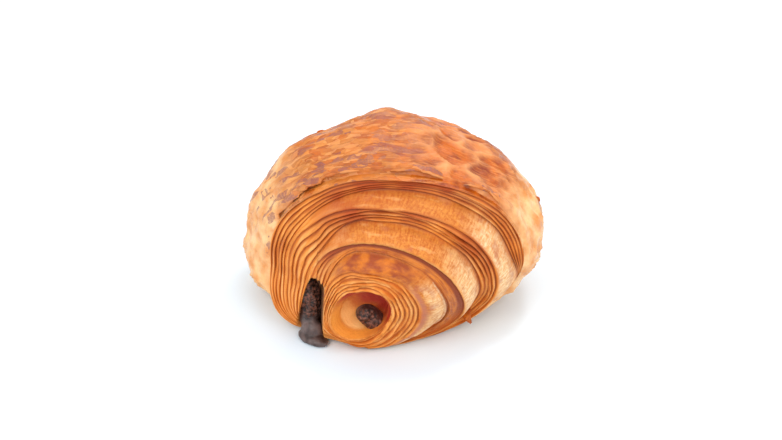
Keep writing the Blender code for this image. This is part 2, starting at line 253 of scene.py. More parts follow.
def crust_start(t, slope):
    """Where the crust begins, behind the lip of the last turn. It closes at the loose end."""
    last = np.full_like(t, float(TURN_COUNT))
    left = (TURN_COUNT - t)[..., None]
    place = lip(t, slope)[..., :2] * (1 - left) + ellipse(last, t) * left
    step = lip(last, slope)[..., 2] - lip(last - 1, slope)[..., 2]
    depth = lip(t, slope)[..., 2] + (TURN_COUNT - t) * step
    return np.concatenate([place, depth[..., None]], axis=-1)


print("outer lip at the top, in mm:", np.round(lip(np.array([3.675]), FRONT_SLOPE)[0], 1))

# %% [markdown]
# ## Uneven, as dough is
#
# No ridge of a real roll is the same height all along, and no flake lies flat. Smooth random lumps
# of a chosen size give that. They are worked out from a seeded table, so every run is the same.
# The sheets below read them at places that are stretched along the roll's own directions, so that
# the lumps lie along the layers as torn dough does.


# %% Lumps
def lumps(points, size, seed):
    """Smooth random lumps of about this size, from -1 to 1 at each point."""
    table = np.random.default_rng(seed).uniform(-1, 1, (32, 32, 32))
    places = points / size
    cell = np.floor(places).astype(int)
    share = smooth_step(places - cell)
    total = np.zeros(places.shape[:-1])
    for corner in itertools.product((0, 1), repeat=3):
        weight = np.prod(np.where(corner, share, 1 - share), axis=-1)
        x, y, z = np.moveaxis((cell + corner) % 32, -1, 0)
        total += weight * table[x, y, z]
    return total


def fine_lumps(points, size, seed):
    """Lumps with smaller lumps on them, as torn and blistered dough has."""
    return (
        lumps(points, size, seed)
        + 0.5 * lumps(points, size / 2.1, seed + 1)
        + 0.25 * lumps(points, size / 4.3, seed + 2)
    ) / 1.4


# %% [markdown]
# ## The stepped end of the roll
#
# Each turn shows two things at the end of the roll. First comes the cut edge, where the five
# layers of the lamination opened in the oven into ridges. Outside it lies the bare face of the
# dough, soft, pale and a little puffed. One long grid carries both. Its rows run round the spiral,
# so each ridge and each valley follows a few of them, and its columns cross one turn. A loft like
# this has no primitive, so a grid is added and its points are moved to where the functions put
# them.

# %% The layers' ridges
LAYERS_IN_DOUGH = 5
COIL_LAYERS = 6.5
OPENING_TURN = 0.95
CREST_SHARPNESS = 1.1
FUSING = 0.85


def track(t, across, radius=26.0, thickness=9.0):
    """A place on the unrolled dough: round the spiral in two numbers and across it in one."""
    return np.stack(
        [radius * np.cos(around(t)), radius * np.sin(around(t)), thickness * (t + across)], axis=-1
    )


def layer_ridges(t, across):
    """The crests of the cut layers, from 0 to 1, and how each layer differs from the others."""
    place = track(t, across)
    opened = smooth_step((t - OPENING_TURN) / 0.3)
    wander = 0.55 * lumps(place, 9.0, 3) + 0.15 * lumps(place, 3.0, 5)
    wander *= np.sin(math.pi * across) ** 0.7 * mix(0.5, 1.0, opened)
    # The last half layer ends on the lip, so the lip is a crest
    layer = mix(COIL_LAYERS, LAYERS_IN_DOUGH - 0.5, opened) * across + wander
    crest = np.abs(np.sin(math.pi * layer)) ** CREST_SHARPNESS
    smooth_ridge = smooth_step((0.62 - across) / 0.3) * smooth_step(across / 0.12)
    fused = FUSING * fused_share(t)
    unlike = lumps(track(t, np.floor(layer) * 3.1), 9.0, 11) * (1 - fused)
    return mix(crest, smooth_ridge, fused), unlike


print("layers that show on the end:", LAYERS_IN_DOUGH * TURN_COUNT)

# %% How the end was baked
GLAZED_TURN = 0.95
SCORCHED_UNTIL = 1.85


def last_face(t, onward):
    """0 to 1 across the bare face of the last turn, where the glaze comes down from the crust."""
    return smooth_step((t - TURN_COUNT + GLAZED_TURN) / 0.2) * onward


def how_baked(t, across, onward, on_edge, crest, face_width):
    """Masks of the end: its crests, and where it is bare, glazed, fried, scorched or pale."""
    glazed = smooth_step(last_face(t, onward) / 0.15)
    bare = smooth_step(onward / 0.15) * smooth_step((1 - onward) / 0.2)
    bare *= smooth_step((face_width - 1.5) / 3)
    fused = FUSING * fused_share(t) * on_edge
    scorched = 0.5 * fused * smooth_step((across - 0.5) / 0.15)
    scorched *= mix(1.0, 0.2, smooth_step((t - SCORCHED_UNTIL) / 0.15))
    coil_top = smooth_step((t - 0.5) / 0.12) * smooth_step((0.86 - t) / 0.1) * (1 - on_edge)
    coil_right = smooth_step((t - 0.78) / 0.08) * smooth_step((1.2 - t) / 0.1) * (1 - on_edge)
    return {
        # On a bare face the crest mask falls to 0 at the next groove, which paints the valley
        # colour there as shade.
        "up_ridge": np.where(on_edge, crest, np.maximum(smooth_step((1 - onward) / 0.2), glazed)),
        "bare": bare * (1 - glazed),
        "glazed": glazed,
        "fried": np.maximum(fused * smooth_step((0.75 - across) / 0.2), coil_top),
        "toasted": scorched,
        "caught": coil_right * smooth_step((0.34 - onward) / 0.2),
        # The pale stretch on the right of the coil is partly painted sheen.
        "pale": 0.44 * coil_right * smooth_step((onward - 0.3) / 0.2),
    }


# %% The end, its ridges and its bare face
RIDGE_DEPTH = 1.3
FULL_THICKNESS = 6.0
PUFF_HEIGHT = 1.1
FULL_FACE_WIDTH = 8.0
EDGE_SHARE = 10 / 13
SEAM_SHARE = 0.06
TIP_SHARE = 0.03


def off_seams(v):
    """0 where two sheets meet, so that they still meet, and 1 elsewhere."""
    return smooth_step(v / SEAM_SHARE) * smooth_step((1 - v) / SEAM_SHARE)


def end_strip(u, v, slope):
    """The end's points, and masks of how its surface was cut and baked."""
    t = u * TURN_COUNT
    inner = np.where((t <= 1)[..., None], rim(t, slope), groove(np.maximum(t, 1), slope))
    outer = lip(t, slope)
    next_inner = np.where(
        (t <= TURN_COUNT - 1)[..., None],
        groove(np.minimum(t + 1, TURN_COUNT), slope),
        crust_start(np.maximum(t, TURN_COUNT - 1), slope),
    )
    across = np.clip(v / EDGE_SHARE, 0, 1)
    onward = np.clip((v - EDGE_SHARE) / (1 - EDGE_SHARE), 0, 1)
    on_edge = v <= EDGE_SHARE
    point = np.where(on_edge[..., None], mix(inner, outer, across), mix(outer, next_inner, onward))
    thickness = np.linalg.norm((outer - inner)[..., :2], axis=-1)
    face_width = np.linalg.norm((next_inner - outer)[..., :2], axis=-1)
    place = track(t, across)
    crest, unlike = layer_ridges(t, across)
    height = RIDGE_DEPTH * np.clip(thickness / FULL_THICKNESS, 0, 1) * (1 + 0.6 * unlike)
    height += 0.4 * unlike + 0.2 * fine_lumps(place, 1.6, 21)
    away = np.cos(0.5 * math.pi * onward) ** 0.8
    relief = np.where(on_edge, crest, away) * height
    puffed = np.sin(math.pi * onward) * np.clip(face_width / FULL_FACE_WIDTH, 0, 1)
    relief += (PUFF_HEIGHT + 0.3 * lumps(place, 6.0, 31)) * puffed
    torn = 0.5 - 1.3 * np.abs(lumps(track(t, onward, 44, 9), 3.5, 33))
    relief += last_face(t, onward) ** 0.5 * torn
    tips = smooth_step(t / TIP_SHARE) * smooth_step((TURN_COUNT - t) / TIP_SHARE)
    point[..., 2] -= relief * off_seams(v) * tips
    return point, how_baked(t, across, onward, on_edge, crest, face_width)


# %% [markdown]
# ## The hole in the coil
#
# The innermost turn shrank away from the baton while it baked, which left a hole. It is a funnel:
# its wall runs in to a waist, deeper at the upper right, where a ledge of one more layer stands
# out of it, and its floor closes behind the end of the baton.

# %% The hole
HOLE_CENTRE = (-3.2, 7.6)
HOLE_WAIST = 0.78
# How deep the wall is at the lower left and at the upper right, and how deep the floor
HOLE_DEPTHS = (4.6, 7.2)
HOLE_FLOOR = 6.8
HOLE_LUMPS = 0.3
LEDGE_PLACE = 0.34
LEDGE_HEIGHT = 0.9


def hole_wall(u, v, slope):
    """The funnel's points, and a mask of its ledge. v runs from the rim to the floor's middle."""
    wall, ground = smooth_step(2 * v), smooth_step(2 * v - 1)
    point = rim(u, slope)
    middle = np.array(HOLE_CENTRE)
    width = mix(1.0, HOLE_WAIST, wall) * (1 - ground)
    point[..., :2] = middle + (point[..., :2] - middle) * width[..., None]
    upper_right = 0.5 + 0.5 * np.cos(around(u) + math.radians(50))
    point[..., 2] += mix(*HOLE_DEPTHS, upper_right) * smooth_step(1.6 * v)
    floor_depth = float(telescope(middle, slope)) + HOLE_FLOOR
    point[..., 2] = mix(point[..., 2], floor_depth, ground)
    ledge = np.exp(-(((v - LEDGE_PLACE) / 0.06) ** 2)) * smooth_step(1.6 * upper_right - 0.3)
    uneven = HOLE_LUMPS * lumps(point * [1, 1, 0.5], 3.0, 41) * off_seams(v)
    point[..., 2] -= uneven + LEDGE_HEIGHT * ledge
    return point, ledge


print("depth of the hole in mm:", HOLE_DEPTHS)

# %% [markdown]
# ## The crust
#
# The crust runs from the front end to the back. It swells between them, and steam under the glaze
# lifted it into blisters. On the left the glaze broke into long flakes that lie along the edge,
# and on the right it cracked into a net of pale veins, which stand out a little, and a few cells
# of the net caught in the oven. The veins' paleness is partly a painted highlight on their raised
# tops. The big swelling is the solid's own. The rest is a lighter relief on it.

# %% Form of the crust
# Where the roll is widest: x and z of its middle, half width, and height above and below that
WIDEST = (0.8, 21.0, 44.2, 36.6, 23.5)
WIDEST_LEAN = 0.035
SHOULDER_SLACK = 0.075
SHOULDER_PEAK = 2.6
SWELL_SHAPE = 0.9
SWELL_PEAK = 0.66
# Where round the roll, where along it, how high in mm and how wide in mm
BLISTERS = (
    (0.662, 0.60, 2.4, 5.0),
    (0.668, 0.60, 1.4, 11.0),
    (0.70, 0.40, 1.1, 7.0),
    (0.80, 0.50, 1.3, 9.0),
    (0.55, 0.45, 1.2, 8.0),
    (0.93, 0.55, 1.6, 6.0),
    (0.47, 0.30, 0.9, 7.0),
    (0.74, 0.80, 1.2, 8.0),
)
GIRTH = 2 * math.pi * WIDEST[2]


def narrowed(place):
    """A place in the roll, drawn in as the whole roll is at its back end."""
    centre = np.array([TURNS[-1][0], 0.0])
    return centre + (place - centre) * BACK_SHARE


def widest_section(t):
    """The outline of the roll where it is widest, flatter below than above."""
    x, z, half_width, above, below = WIDEST
    across, down = np.cos(around(t)), np.sin(around(t))
    shoulder = SHOULDER_PEAK * np.clip(across, 0, 1) * np.clip(-down, 0, 1) ** 2
    full = 1 - SHOULDER_SLACK * shoulder
    up = z - np.where(down > 0, below, above) * full * down + WIDEST_LEAN * half_width * across
    return np.stack([x + half_width * full * across, up], axis=-1)


def blistered(u, v):
    """How far the large blisters lift the crust."""
    rise = np.zeros_like(u)
    for turn_share, length_share, height, radius in BLISTERS:
        squared = ((u - turn_share) * GIRTH) ** 2 + ((v - length_share) * ROLL_LENGTH / 2) ** 2
        rise += height * np.exp(-squared / radius**2)
    return rise


# %% Relief of the crust
VEIN_CELLS = 280
VEIN_WIDTH = 1.7
VEIN_BEND = 3.0
VEIN_STRETCH = 0.7
VEIN_HEIGHT = 1.0
DARK_CELLS = 0.03
FLAKY_FROM = 0.43
FLAKY_UNTIL = 0.74


def flaky_share(u):
    """1 where the glaze broke into flakes, which is on the left and up to the top."""
    return smooth_step((FLAKY_UNTIL - u) / 0.12) * smooth_step((u - FLAKY_FROM) / 0.05)


def vein_net(u, v):
    """Two masks: the veins of the glaze, and the few cells between them that caught in the oven.
    Each cell is what lies nearest to one random point, and a vein is where two are as near."""
    draw = np.random.default_rng(5)
    seeds = draw.uniform((0, 0), (GIRTH, ROLL_LENGTH), (VEIN_CELLS, 2))
    dark = draw.uniform(size=VEIN_CELLS) < DARK_CELLS
    place = track(u, v, 44, 80)
    here = np.stack([u * GIRTH, v * ROLL_LENGTH], axis=-1)
    bent = here + VEIN_BEND * np.stack([lumps(place, 9, seed) for seed in (51, 52)], axis=-1)
    first = np.full(u.shape, np.inf)
    second = first.copy()
    in_dark = np.zeros(u.shape)
    for seed, is_dark in zip(seeds, dark):
        gap = np.abs(bent - seed)
        gap[..., 0] = np.minimum(gap[..., 0], GIRTH - gap[..., 0]) * VEIN_STRETCH
        distance = np.linalg.norm(gap, axis=-1)
        in_dark = np.where(distance < first, is_dark, in_dark)
        second = np.minimum(second, np.maximum(first, distance))
        first = np.minimum(first, distance)
    veins = np.exp(-(((second - first) / VEIN_WIDTH) ** 2))
    unbroken = (1 - flaky_share(u)) * smooth_step(0.6 + 1.5 * lumps(place, 13, 61))
    return veins * unbroken, 0.5 * in_dark * smooth_step((second - first - 0.6) / 1.6)


def crust_relief(u, v):
    """How far the crust stands out at each point, for its veins, its long flakes and its lumps."""
    place = track(u, v, 44, 70)
    terraces = np.abs(lumps(place * [0.5, 0.5, 1.9], 4.2, 71))
    relief = VEIN_HEIGHT * vein_net(u, v)[0]
    relief += 0.8 * fine_lumps(place, 9.0, 81) + 0.26 * fine_lumps(place, 2.6, 91)
    return relief + mix(0.25, 0.9, flaky_share(u)) * (0.5 - terraces)


# %% The crust as a surface
CRUST_SPACING = 1.3
CRUST_SINK = 0.3
TORN_RIM_LENGTH = 0.11
LOOSE_END_SHARE = 0.03


def crust(u, w):
    """x and z of the crust, and its y. u runs round it, and w from its front to its back."""
    v = w**CRUST_SPACING
    t = TURN_COUNT - 1 + u
    front, back = crust_start(t, FRONT_SLOPE), crust_start(t, BACK_SLOPE)
    ring = mix(front[..., :2], narrowed(back[..., :2]), v)
    swell = np.sin(math.pi * v**SWELL_PEAK) ** SWELL_SHAPE
    place = mix(ring, widest_section(t), swell)
    outwards = place - np.array(WIDEST[:2])
    outwards = outwards / np.linalg.norm(outwards, axis=-1)[..., None]
    torn_rim = smooth_step(v / 0.006) * (1 - smooth_step(v / TORN_RIM_LENGTH))
    torn_rim *= 0.9 + 0.9 * fine_lumps(track(u, v * 0.2, 44, 30), 6.0, 95)
    rise = blistered(u, v) * swell + torn_rim
    rise += (crust_relief(u, v) - CRUST_SINK) * smooth_step(v / 0.02)
    rise *= smooth_step((1 - v) / SEAM_SHARE)
    rise *= smooth_step(u / LOOSE_END_SHARE) * smooth_step((1 - u) / LOOSE_END_SHARE)
    near = -ROLL_LENGTH / 2 + front[..., 2]
    far = ROLL_LENGTH / 2 - back[..., 2]
    return place + outwards * rise[..., None], mix(near, far, v)


print("girth of the roll in mm:", round(GIRTH))

# %% [markdown]
# ## How it rests
#
# The foot of the roll spreads on the tray, and its underside is flat. On the left the turns part
# in front of the side baton, which leaves a deep slot for the chocolate that melted out.

# %% In the roll
FOOT_SPREAD = 0.16
FOOT_CENTRE = 15.0
FOOT_HEIGHT = 22.0
FLOOR_SOFTNESS = 2.6
FLOOR_SINK = 0.7
# The slot's middle, its half width, its bottom, its height, and how blunt its top is
SLOT = (-24.5, 4.1, -2.0, 24.4, 0.24)
SLOT_LEAN = 3.0
SLOT_BACK = -26.4
SLOT_RIM = 1.3


def in_roll(place, y):
    """x, y and z of a point. The foot spreads, and what is below the tray is pressed flat."""
    z = place[..., 1]
    x = place[..., 0]
    x = x + (x - FOOT_CENTRE) * FOOT_SPREAD * smooth_step(1 - z / FOOT_HEIGHT)
    pressed = (z + np.sqrt(z * z + FLOOR_SOFTNESS**2)) / 2 - FLOOR_SINK
    return np.stack([x, y, np.maximum(pressed, 0.0)], axis=-1)


def at_front(point):
    """A point of the front end, moved to its place in the roll."""
    return in_roll(point[..., :2], point[..., 2] - ROLL_LENGTH / 2)


def at_back(point):
    """A point of the back end, moved to its place in the roll. This end is narrower."""
    return in_roll(narrowed(point[..., :2]), ROLL_LENGTH / 2 - point[..., 2])


def slotted(point):
    """The front of the roll with the slot pushed into it, and how far in each point was pushed."""
    middle, half_width, bottom, height, bluntness = SLOT
    rise = np.clip((point[..., 2] - bottom) / height, 0, 1)
    half = half_width * (1 - rise) ** bluntness
    off_middle = point[..., 0] - middle - SLOT_LEAN * rise**2
    inside = smooth_step((half - np.abs(off_middle) + 0.3) / SLOT_RIM) * (point[..., 1] < 0)
    back = np.maximum(point[..., 1], SLOT_BACK)
    moved = point.copy()
    moved[..., 1] = mix(point[..., 1], back, inside)
    return moved, moved[..., 1] - point[..., 1]


# %% [markdown]
# ## The roll as one mesh
#
# Five grids make the whole outside of the roll: the two ends, the two funnels and the crust. Each
# point also keeps what its surface is, as numbers from 0 to 1 in mesh attributes, because the
# colour follows how the dough was cut and baked and not the camera or the axes. The grids are then
# joined and their seams merged, so the roll is one closed surface.

# %% A grid with its masks
MASKS = ("glazed", "up_ridge", "bare", "fried", "funnel", "toasted")
MASKS += ("pale", "caught", "flaky", "in_slot", "vein")


def add_sheet(name, columns, rows, unrolled_size, make):
    """A primitive grid whose points go where make puts them. make also gives the masks. The map of
    the surface is in metres, along the layers and across them, for patterns along the dough."""
    bpy.ops.mesh.primitive_grid_add(x_subdivisions=columns, y_subdivisions=rows, size=2)
    sheet = bpy.context.object
    sheet.name = name
    flat = np.empty(len(sheet.data.vertices) * 3)
    sheet.data.vertices.foreach_get("co", flat)
    flat = flat.reshape(-1, 3)
    points, masks = make((flat[:, 0] + 1) / 2, (flat[:, 1] + 1) / 2)
    sheet.data.vertices.foreach_set("co", (points * MM).ravel())
    unrolled = np.empty(len(sheet.data.loops) * 2)
    map_layer = sheet.data.uv_layers.active
    map_layer.data.foreach_get("uv", unrolled)
    unrolled = unrolled.reshape(-1, 2) * np.array(unrolled_size) * MM
    map_layer.data.foreach_set("uv", unrolled.ravel())
    for mask in MASKS:
        values = np.broadcast_to(masks.get(mask, 0.0), len(flat)).astype(np.float32)
        sheet.data.attributes.new(mask, "FLOAT", "POINT").data.foreach_set("value", values.copy())
    return sheet


# %% What the oven did, and the painted sheen at the sides
def toasted(point):
    """How brown the oven made each point: more on the top and the right, less low on the left."""
    x, y, z = np.moveaxis(point, -1, 0)
    share = 0.44 + 0.011 * (z - 20) + 0.001 * x + 0.22 * lumps(point, 13.0, 101)
    return np.clip(share + 0.12 * lumps(point, 4.0, 111), 0, 1)


def paled(point):
    """How much of its colour the dough lacks: palest at both sides and low down, partly where it
    baked least, partly painted sheen.
    """
    x, y, z = np.moveaxis(point, -1, 0)
    share = 0.25 + 0.0006 * (x - 2) ** 2 - 0.012 * (z - 20) + 0.2 * lumps(point, 9.0, 161)
    return np.clip(share, 0, 1)


def with_brown_and_pale(masks, point):
    """The masks of an end, with its browning by the oven and its paleness, partly painted sheen,
    added.
    """
    masks["pale"] = np.maximum(masks["pale"], paled(point))
    masks["toasted"] = np.clip(masks["toasted"] + toasted(point), 0, 1)
    return masks


# %% What each sheet is
SLOT_SHADOW = 4.0
# Where the crust caught, round the roll and along it, and how far the spot reaches both ways
CAUGHT_SPOT = (0.905, 0.47, 0.022, 0.06)


def front_end(u, v):
    """The stepped end in front, with the slot and the torn glaze on its left."""
    point, masks = end_strip(u, v, FRONT_SLOPE)
    point, in_slot = slotted(at_front(point))
    masks["in_slot"] = smooth_step(in_slot / SLOT_SHADOW)
    masks["flaky"] = flaky_share(u * TURN_COUNT - TURN_COUNT + 1)
    return point, with_brown_and_pale(masks, point)


def back_end(u, v):
    """The stepped end at the back."""
    point, masks = end_strip(u, v, BACK_SLOPE)
    point = at_back(point)
    return point, with_brown_and_pale(masks, point)


def funnel(u, v, slope, moved):
    """The wall of the hole at one end. Its deep part is creamy, where the dough stayed soft."""
    point, ledge = hole_wall(u, v, slope)
    point = moved(point)
    return point, {
        "up_ridge": 1.0,
        "funnel": smooth_step(v / 0.08) * (1 - 0.25 * ledge),
        "toasted": toasted(point),
        "pale": smooth_step((v - 0.38) / 0.25),
    }


def crust_sheet(u, w):
    """The crust with its veins, its flakes and the places that caught."""
    point, in_slot = slotted(in_roll(*crust(u, w)))
    turn_share, length_share, half_turn, half_length = CAUGHT_SPOT
    from_spot = ((u - turn_share) / half_turn) ** 2 + ((w - length_share) / half_length) ** 2
    veins, dark_cells = vein_net(u, w**CRUST_SPACING)
    return point, {
        "up_ridge": 1.0,
        "glazed": 1.0,
        "caught": np.maximum(np.exp(-from_spot), dark_cells),
        "vein": veins,
        "flaky": flaky_share(u),
        "toasted": toasted(point),
        "pale": paled(point),
        "in_slot": smooth_step(in_slot / SLOT_SHADOW),
    }


# %% The five sheets
COLUMNS_IN_TURN = 232
FRONT_ROWS = 39
BACK_ROWS = 26
FUNNEL_ROWS = (24, 10)
CRUST_ROWS = 114

front_funnel = functools.partial(funnel, slope=FRONT_SLOPE, moved=at_front)
back_funnel = functools.partial(funnel, slope=BACK_SLOPE, moved=at_back)
sheets = [
    add_sheet("front_end", TURN_COUNT * COLUMNS_IN_TURN, FRONT_ROWS, (600, 13), front_end),
    add_sheet("back_end", TURN_COUNT * COLUMNS_IN_TURN, BACK_ROWS, (400, 9), back_end),
    add_sheet("front_funnel", COLUMNS_IN_TURN, FUNNEL_ROWS[0], (50, 14), front_funnel),
    add_sheet("back_funnel", COLUMNS_IN_TURN, FUNNEL_ROWS[1], (35, 14), back_funnel),
    add_sheet("crust", COLUMNS_IN_TURN, CRUST_ROWS, (GIRTH, 70), crust_sheet),
]
print("points in the sheets:", [len(sheet.data.vertices) for sheet in sheets])


# %% One closed roll
MERGE_DISTANCE = 0.001


def select_only(*pieces):
    """Selects these pieces and nothing else. The first becomes the active one."""
    bpy.ops.object.select_all(action="DESELECT")
    for piece in pieces:
        piece.select_set(True)
    bpy.context.view_layer.objects.active = pieces[0]


def joined(pieces, name):
    """The pieces as one, with this name."""
    select_only(*pieces)
    if len(pieces) > 1:
        bpy.ops.object.join()
    pieces[0].name = name
    return pieces[0]


roll = joined(sheets, "baked_roll")
bpy.ops.object.mode_set(mode="EDIT")
bpy.ops.mesh.select_all(action="SELECT")
bpy.ops.mesh.remove_doubles(threshold=MERGE_DISTANCE * MM)
# At the loose end four faces meet on one tiny edge, which is drawn together into a point
bpy.ops.mesh.select_all(action="DESELECT")
bpy.ops.mesh.select_mode(type="EDGE")
bpy.ops.mesh.select_non_manifold(
    use_wire=False, use_boundary=False, use_non_contiguous=False, use_verts=False
)
bpy.ops.mesh.merge(type="COLLAPSE")
bpy.ops.mesh.select_mode(type="VERT")
bpy.ops.mesh.select_all(action="SELECT")
bpy.ops.mesh.normals_make_consistent(inside=False)
bpy.ops.object.mode_set(mode="OBJECT")
bpy.ops.object.shade_smooth()
shell = bmesh.new()
shell.from_mesh(roll.data)
open_edges = sum(1 for edge in shell.edges if not edge.is_manifold)
print("roll:", len(roll.data.polygons), "faces and", open_edges, "open edges")
print("its volume in cubic mm:", round(shell.calc_volume() / MM**3))
shell.free()

# %% [markdown]
# ## Loose flakes
#
# The thinnest layers came off in flakes. Some of the glaze overhangs the layers in front of it on
# the left, a pale ribbon lies along the second turn, a tip sticks out at the foot, and two dark
# crumbs stand up from the crust. Each is a small grid between the line that holds it and its free
# edge, thickened by Solidify. They are one piece, because they all are the same dough.

# %% Tools for flakes
def apply_modifier(piece, kind, **settings):
    """A modifier with its settings, applied at once."""
    select_only(piece)
    modifier = piece.modifiers.new(kind.lower(), kind)
    for setting, value in settings.items():
        setattr(modifier, setting, value)
    bpy.ops.object.modifier_apply(modifier=modifier.name)


def on_crust(u, w):
    """A place on the crust."""
    return in_roll(*crust(u, np.full_like(u, w)))


def outwards_at(place):
    """The direction straight out of the roll at each place, across its length."""
    away = place - np.array([WIDEST[0], 0, WIDEST[1]])
    away[:, 1] = 0
    return away / np.linalg.norm(away, axis=-1)[:, None]


def between(ends, share):
    """Places on the line between two ends."""
    start, end = np.array(ends)
    return start + (end - start) * share[:, None]


def arched(u, power=0.5):
    """1 at the middle of a flake, falling to 0 at both its ends."""
    return np.clip(1 - (2 * u - 1) ** 2, 0, 1) ** power


# %% Shapes of the flakes
# The tip at the foot: the two ends of the line that holds it, and of its free edge
TIP_HELD = ((20.7, -26.0, 5.2), (22.9, -25.8, 8.2))
TIP_FREE = ((23.1, -26.6, 3.4), (23.5, -26.4, 3.8))


def lip_flake(middle, half, overhang, number):
    """A flake of the glaze that reaches over the front edge of the crust."""

    def make(u, v):
        turn = middle + half * (2 * u - 1)
        back, front = on_crust(turn, 0.10), on_crust(turn, 0.012)
        ragged = 0.7 + 0.5 * lumps(track(turn, number * 2.7, 44), 2.5, 171)
        full = arched(u, 0.55)
        forward = front - back
        reach = 1 + overhang * ragged * full / np.linalg.norm(forward, axis=-1)
        lift = (1.2 * smooth_step(v / 0.5) - 0.3) * full - 0.5 * (1 - full)
        point = back + forward * (reach * v)[:, None] + outwards_at(back) * lift[:, None]
        masks = {"up_ridge": 1.0, "glazed": 1.0, "flaky": 1.0}
        return point, masks | {"toasted": toasted(point), "pale": paled(point)}

    return make


def ribbon(u, v):
    """The pale ribbon between the coil and the second turn, on the bare face there."""
    t, onward = mix(0.83, 1.03, u), 0.72 + 0.22 * v
    point = at_front(mix(lip(t, FRONT_SLOPE), groove(t + 1, FRONT_SLOPE), onward))
    point[:, 1] -= (0.3 + 1.1 * v) * arched(u) - 0.4
    return point, {"up_ridge": 1.0, "bare": 1.0, "pale": 1.0, "caught": 0.35}


def foot_tip(u, v):
    """The tip of dough that sticks out at the foot, pointing down."""
    point = mix(between(TIP_HELD, u), between(TIP_FREE, u), v)
    point[:, 1] -= 1.3 * smooth_step(v / 0.3)
    return point, {"up_ridge": 1.0, "fried": 1.0}


def crumb_at(turn, w, length, height):
    """A dark crumb that stands up from the crust."""

    def make(u, v):
        place = on_crust(turn + (u - 0.5) * length / GIRTH, w)
        stands_out = height * arched(u) * v - 0.3
        return place + outwards_at(place) * stands_out[:, None], {"up_ridge": 0.0}

    return make


# %% Flakes
FLAKE_THICKNESS = 0.35
# Where on the last turn, half its length there, how far it overhangs, and its number
LIP_FLAKES = (
    (0.415, 0.030, 2.6, 1),
    (0.462, 0.034, 3.4, 2),
    (0.512, 0.030, 3.8, 3),
    (0.556, 0.026, 2.6, 4),
    (0.600, 0.030, 1.2, 5),
    (0.700, 0.034, 1.0, 6),
    (0.790, 0.030, 1.1, 7),
)

flake_sheets = [
    add_sheet(f"lip_flake_{sizes[-1]}", 24, 8, (14, 6), lip_flake(*sizes)) for sizes in LIP_FLAKES
]
flake_sheets += [
    add_sheet("ribbon", 30, 5, (12, 2), ribbon),
    add_sheet("foot_tip", 8, 8, (4, 5), foot_tip),
    add_sheet("crumb_left", 10, 4, (3, 1), crumb_at(0.585, 0.66, 3.0, 0.9)),
    add_sheet("crumb_right", 10, 4, (3, 1), crumb_at(0.885, 0.48, 3.0, 1.2)),
]
flakes = joined(flake_sheets, "loose_flakes")
apply_modifier(flakes, "SOLIDIFY", thickness=FLAKE_THICKNESS * MM, offset=0.0)
bpy.ops.object.shade_smooth()
print("flakes:", len(flake_sheets), "with", len(flakes.data.polygons), "faces")

# %% [markdown]
# ## The chocolate
#
# The batons are bars of dark chocolate that keep their shape in the oven. The middle one lies back
# in its hole and shows a broken, crumbly end. The side one melted at its front into a tongue that
# stands on a flat puddle. A bar is a cube with its edges bevelled, and the melted end is a ball
# that is drawn out and another that is flattened. A voxel remesh makes them one skin, which gives
# the random crumbs an even mesh to sit in.

# %% Tools for batons
BATON_ROUNDING = 2.4
SKIN = 0.34


def end_of_baton(centre, slope, recess):
    """How far from the middle of the roll a baton ends."""
    return ROLL_LENGTH / 2 - float(telescope(np.array(centre), slope)) - recess


def before_narrowing(place):
    """Where a place in the back end would be if the roll were as wide there as in front."""
    centre = np.array([TURNS[-1][0], 0.0])
    return centre + (np.array(place) - centre) / BACK_SHARE


def place_in_mesh(piece):
    """Moves the place, turn and size of a piece into its mesh."""
    select_only(piece)
    bpy.ops.object.transform_apply(location=True, rotation=True, scale=True)


def add_bar(sizes, turn, start, end):
    """A bar with rounded edges between two points."""
    start, end = Vector(start) * MM, Vector(end) * MM
    bpy.ops.mesh.primitive_cube_add(size=1)
    bar = bpy.context.object
    bar.scale = (sizes[0] * MM, (end - start).length, sizes[1] * MM)
    place_in_mesh(bar)
    apply_modifier(bar, "BEVEL", width=BATON_ROUNDING * MM, segments=3)
    along = (end - start).to_track_quat("Y", "Z").to_matrix().to_4x4()
    bar.rotation_euler = (along @ Matrix.Rotation(turn, 4, "Y")).to_euler()
    bar.location = (start + end) / 2
    place_in_mesh(bar)
    return bar


def add_ball(place, half_sizes, turn=0.0):
    """A ball drawn out or flattened to its half sizes."""
    bpy.ops.mesh.primitive_uv_sphere_add(segments=32, ring_count=20, radius=1)
    ball = bpy.context.object
    ball.scale = Vector(half_sizes) * MM
    ball.rotation_euler = (0, 0, turn)
    ball.location = Vector(place) * MM
    place_in_mesh(ball)
    return ball


def voxel_skin(pieces, name):
    """The pieces as one closed skin of small even faces."""
    skin = joined(pieces, name)
    apply_modifier(skin, "REMESH", mode="VOXEL", voxel_size=SKIN * MM)
    return skin


def crumble(piece, rough_depth, smooth_depth, broken):
    """Random crumbs on the skin: coarse where broken is 1 and fine elsewhere."""
    mesh = piece.data
    points = np.empty(len(mesh.vertices) * 3)
    normals = np.empty(len(mesh.vertices) * 3)
    mesh.vertices.foreach_get("co", points)
    mesh.vertices.foreach_get("normal", normals)
    points, normals = points.reshape(-1, 3) / MM, normals.reshape(-1, 3)
    share = broken(points)
    crumbs = np.abs(lumps(points, 1.9, 121)) + 0.6 * np.abs(lumps(points, 0.9, 131))
    depth = mix(smooth_depth * lumps(points, 3.0, 141), rough_depth * (crumbs - 0.25), share)
    mesh.vertices.foreach_set("co", ((points + normals * depth[:, None]) * MM).ravel())
    values = share.astype(np.float32)
    mesh.attributes.new("broken", "FLOAT", "POINT").data.foreach_set("value", values)
    bpy.ops.object.shade_smooth()


# %% The baton in the coil
CORE_CENTRE = (-5.9, 9.2)
CORE_SIZES = (10.8, 6.2)
CORE_TURN = math.radians(48)
CORE_RECESS = 3.6


def at_broken_ends(points):
    """1 at both ends of the baton in the coil."""
    from_middle = np.abs(points[:, 1] - (core_front + core_back) / 2)
    return smooth_step((from_middle - (core_back - core_front) / 2 + 1.6) / 0.8)


